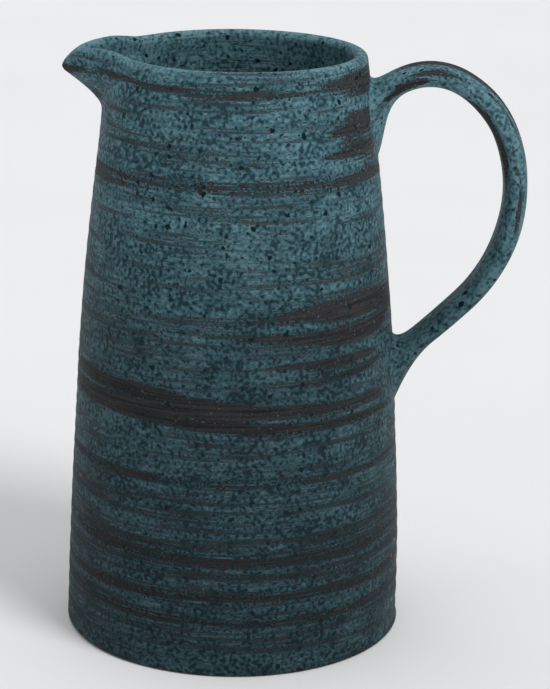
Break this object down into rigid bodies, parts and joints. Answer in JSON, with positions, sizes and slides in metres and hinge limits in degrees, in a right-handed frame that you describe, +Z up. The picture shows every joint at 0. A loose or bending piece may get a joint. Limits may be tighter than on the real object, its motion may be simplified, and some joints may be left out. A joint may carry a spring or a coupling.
{
  "type": "pitcher",
  "caption": "Tall tapered stoneware pitcher with a pulled V spout, a looped strap handle and a streaked, speckled matte glaze.",
  "frame": {"origin": "on the body's axis, in the plane of the foot ring that the pitcher stands on", "axes": "+Z up along the body's axis, +X towards the handle, -X towards the spout, so the handle and spout lie in the XZ plane"},
  "size_m": [0.1875, 0.1386, 0.2416],
  "materials": {
    "speckled_glaze": "satin-matte teal glaze with brushed grey-brown streaks and dark speckles",
    "bare_clay": "unglazed fired stoneware, matte and slightly gritty"
  },
  "bodies": {
    "root": {"body_wall": "speckled_glaze", "pouring_spout": "speckled_glaze", "base_floor": "bare_clay", "handle_strap": "speckled_glaze", "handle_upper_root": "speckled_glaze", "handle_lower_root": "speckled_glaze"}
  },
  "joints": []
}
